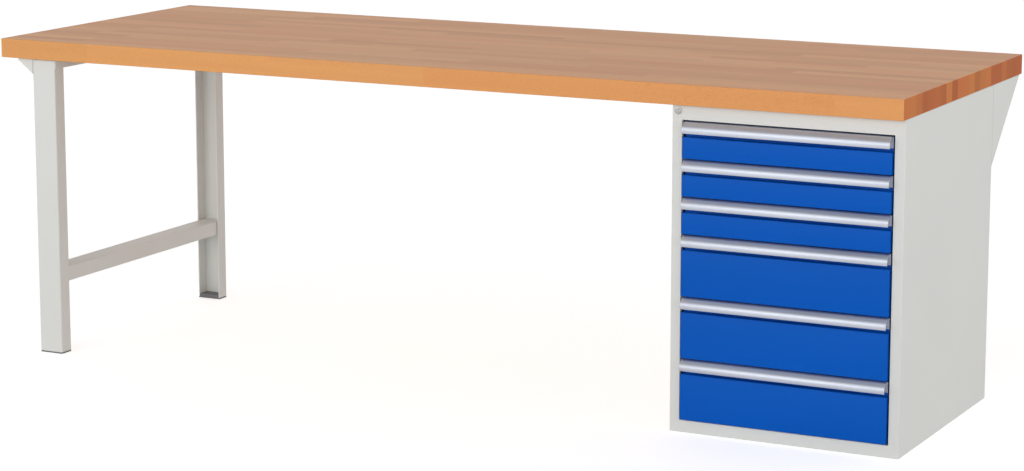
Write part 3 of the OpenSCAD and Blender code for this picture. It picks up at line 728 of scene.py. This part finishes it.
# %% [markdown]
# ## Screws and bolts
# Twelve wood screws hold the worktop from below, and six bolts hold the brackets. Each kind is turned once as
# a template, and a node tree sets it on points. The points are the middles of the frame's own screws, so
# they can't drift. A tree is better here than copies in a loop, because one change to the template
# changes every screw. Realize Instances at its end makes real mesh of them.


# %% A tree that sets a template on points
def new_tree(name, inputs):
    """A geometry tree with the named inputs. Returns it, its inputs' sockets and its output's socket."""
    tree = bpy.data.node_groups.new(name, "GeometryNodeTree")
    tree.interface.new_socket("Geometry", in_out="INPUT", socket_type="NodeSocketGeometry")
    for label, kind in inputs.items():
        tree.interface.new_socket(label, in_out="INPUT", socket_type=kind)
    tree.interface.new_socket("Geometry", in_out="OUTPUT", socket_type="NodeSocketGeometry")
    given = tree.nodes.new("NodeGroupInput").outputs
    result = tree.nodes.new("NodeGroupOutput").inputs
    return tree, given, result


def run_tree(piece, tree, values):
    """Runs a tree on a piece with the given values for its named inputs, and keeps the plain mesh."""
    modifier = piece.modifiers.new(tree.name, "NODES")
    modifier.node_group = tree
    for item in tree.interface.items_tree:
        if item.in_out == "INPUT" and item.name in values:
            modifier[item.identifier] = values[item.name]
    apply_modifiers(piece)


def repeat_tree():
    """Sets the template on every point, at a size that varies a little from one to the next.
    Min and Max of a random number are its inputs 2 and 3, because a random vector has the same names."""
    tree, given, result = new_tree("template_on_points", {
        "Template": "NodeSocketObject", "Finish": "NodeSocketMaterial", "Variation": "NodeSocketFloat"})
    template = add_node(tree, "GeometryNodeObjectInfo", {"Object": given["Template"]})
    smallest = add_node(tree, "ShaderNodeMath", {0: 1.0, 1: given["Variation"]}, operation="SUBTRACT")
    size = add_node(tree, "FunctionNodeRandomValue", {"Seed": 3, 2: smallest.outputs[0], 3: 1.0})
    copies = add_node(tree, "GeometryNodeInstanceOnPoints", {
        "Points": given["Geometry"], "Instance": template.outputs["Geometry"], "Scale": size.outputs[1]})
    real = add_node(tree, "GeometryNodeRealizeInstances", {"Geometry": copies.outputs["Instances"]})
    painted = add_node(tree, "GeometryNodeSetMaterial", {"Geometry": real.outputs["Geometry"],
                                                         "Material": given["Finish"]})
    tree.links.new(painted.outputs["Geometry"], result["Geometry"])
    return tree


def skin(bm, loops):
    """Joins each loop of vertices to the next one with a ring of faces."""
    for one, two in zip(loops, loops[1:]):
        for k in range(len(one)):
            n = (k + 1) % len(one)
            bm.faces.new((one[k], one[n], two[n], two[k]))


def turned(rings, segments=24, recess=None, lobes=6, swell=0.18):
    """A turned solid about the Z axis, from (radius, height) rings, closed at both ends.
    recess names the ring from which on the radius swells in lobes, as in a driver's socket."""
    bm = bmesh.new()
    loops = []
    for k, (radius, height) in enumerate(rings):
        depth = swell if recess is not None and k >= recess else 0.0
        angles = [2 * math.pi * step / segments for step in range(segments)]
        reach = [radius * (1 + depth * math.cos(lobes * angle)) for angle in angles]
        loops.append([bm.verts.new((r * math.cos(a), r * math.sin(a), height))
                      for r, a in zip(reach, angles)])
    skin(bm, loops)
    bm.faces.new(loops[0][::-1])
    bm.faces.new(loops[-1])
    bmesh.ops.recalc_face_normals(bm, faces=bm.faces[:])
    return bm


def template_object(name, bm):
    """An object to take copies of. It is removed when the copies are made."""
    mesh = bpy.data.meshes.new(name)
    bm.to_mesh(mesh)
    bm.free()
    template = bpy.data.objects.new(name, mesh)
    bpy.context.scene.collection.objects.link(template)
    return template


set_on_points = repeat_tree()


def repeated(name, points, template, finish, body, node, variation=0.0):
    """Copies of a template on points, as one piece. node is the one it stands for, or None."""
    bm = bmesh.new()
    for point in points:
        bm.verts.new(point)
    piece = new_piece(name, bm, [])
    run_tree(piece, set_on_points, {"Template": template, "Finish": finish, "Variation": variation})
    bpy.data.objects.remove(template)
    hand_over(piece, body, [node] if node else [])
    print(name + ":", len(points), "copies,", len(piece.data.polygons), "faces")


# %% Worktop screws, driven upwards
def build_worktop_screws(shank=3 * MM, head=6 * MM, head_height=3 * MM, socket_depth=1.6 * MM,
                         rounding=1.2 * MM, plain_shank=1 * MM, tip=4 * MM, thread_pitch=2.5 * MM):
    """Wood screws: a round head with its socket below, a short plain shank, the thread and a tip."""
    boxes = solid_boxes("worktop_screws")
    length = boxes[0][1].z - boxes[0][0].z
    root = 0.72 * shank
    rings = [(0.3 * head, socket_depth), (0.38 * head, 0.0), (0.8 * head, 0.0), (head, rounding),
             (head, head_height), (shank, head_height)]
    for k in range(int((length - head_height - tip) / thread_pitch)):
        base = head_height + plain_shank + k * thread_pitch
        rings += [(root, base), (shank, base + 0.45 * thread_pitch), (root, base + 0.9 * thread_pitch)]
    rings.append((0.1 * shank, length))
    template = template_object("wood_screw", turned(rings, segments=20))
    points = [((low.x + high.x) / 2, (low.y + high.y) / 2, low.z) for low, high in boxes]
    repeated("wood_screws", points, template, zinc, "bench", "worktop_screws")


build_worktop_screws()


# %% Bracket bolts, with their nuts
def build_bracket_bolts(shank=3 * MM, head=5.4 * MM, head_height=3 * MM, nut=5.4 * MM, nut_from=0.4 * MM,
                        nut_to=3 * MM, dome=1.4 * MM, crown=0.3 * MM, socket_depth=1.6 * MM):
    """Button-headed bolts along Y: the nut on the thread's end, and a six-lobed socket in the head."""
    boxes = solid_boxes("bracket_bolts")
    length = boxes[0][1].y - boxes[0][0].y
    outside = [(shank, 0.0), (shank, nut_from), (nut, nut_from), (nut, nut_to), (shank, nut_to),
               (shank, length - head_height), (head, length - head_height), (head, length - dome),
               (0.82 * head, length - crown), (0.6 * head, length)]
    socket = [(0.42 * head, length), (0.36 * head, length - socket_depth)]
    bm = turned(outside + socket, recess=len(outside))
    bmesh.ops.rotate(bm, verts=bm.verts[:], cent=(0, 0, 0),
                     matrix=Matrix.Rotation(-math.pi / 2, 3, "X"))
    template = template_object("bracket_bolt", bm)
    points = [((low.x + high.x) / 2, low.y, (low.z + high.z) / 2) for low, high in boxes]
    repeated("bracket_screws", points, template, zinc, "bench", "bracket_bolts")


build_bracket_bolts()

# %% [markdown]
# ## Welds
# The leg frame is welded, and a weld run is a row of overlapping ripples, painted over with the frame. The
# run follows the line where two pieces meet. Points are laid along it every 1.8 mm, and the same tree as for
# the screws sets a ball on each and varies their sizes a little with a fixed seed, which is what makes it look
# laid by hand.


# %% Lay the weld runs
def path_points(corners, step, closed):
    """Points at even steps along a line of corners."""
    corners = [Vector(c) for c in corners]
    ends = corners[1:] + corners[:1] if closed else corners[1:]
    points = []
    for one, two in zip(corners, ends):
        count = max(1, round((two - one).length / step))
        points += [one.lerp(two, k / count) for k in range(count)]
    return points


def build_welds(bead=2.4 * MM, step=1.8 * MM, inset=0.3 * MM, drop=0.5 * MM):
    """Runs round both ends of the crossbar and along the legs' heads, set a little in from their faces."""
    low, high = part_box("crossbar")
    points = []
    for y in (low.y + inset, high.y - inset):
        ring = [(low.x, y, low.z), (high.x, y, low.z), (high.x, y, high.z), (low.x, y, high.z)]
        points += path_points(ring, step, closed=True)
    for leg in ("front_leg", "rear_leg"):
        low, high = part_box(leg)
        near, far = (low.y, high.y) if leg == "front_leg" else (high.y, low.y)
        top = high.z - drop
        run = [(low.x, far, top), (low.x, near, top), (high.x, near, top), (high.x, far, top)]
        points += path_points(run, step, closed=False)
    bm = bmesh.new()
    bmesh.ops.create_icosphere(bm, subdivisions=1, radius=bead)
    template = template_object("weld_ripple", bm)
    repeated("frame_welds", points, template, light_grey, "bench", None, variation=0.25)


build_welds()

# %% [markdown]
# ## The lock
# The rosette is a turned nickel ring. Its rim is rolled over, and in that narrow curve the lock
# mirrors a thin bright line. The ring is a closed section turned about the lock's axis.


# %% Turn the lock's rosette
def build_rosette(flange=2 * MM, barrel=7 * MM, bore=5.05 * MM, lead=0.4 * MM, roll=0.9 * MM, segments=48,
                  roll_steps=5):
    """The lock's housing: a ring with a rolled rim of radius roll, and a lead-in at its bore."""
    low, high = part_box("lock_housing")
    centre_x, centre_z, rim = (low.x + high.x) / 2, (low.z + high.z) / 2, (high.x - low.x) / 2
    front, back = low.y, high.y
    arc = [(rim - roll + roll * math.sin(a), front + roll - roll * math.cos(a))
           for a in [math.pi / 2 * k / roll_steps for k in range(roll_steps + 1)]]
    section = [(bore, front + lead), (bore + lead, front)] + arc + [
        (rim, front + flange), (barrel, front + flange), (barrel, back), (bore, back)]
    bm = bmesh.new()
    loops = []
    angles = [2 * math.pi * k / segments for k in range(segments)]
    for radius, y in section:
        loops.append([bm.verts.new((centre_x + radius * math.cos(a), y, centre_z + radius * math.sin(a)))
                      for a in angles])
    skin(bm, loops + loops[:1])
    bmesh.ops.recalc_face_normals(bm, faces=bm.faces[:])
    piece = new_piece("lock_rosette", bm, [nickel])
    smooth(piece.data)
    hand_over(piece, "bench", ["lock_housing"])
    print("rosette:", len(piece.data.polygons), "faces")


build_rosette()
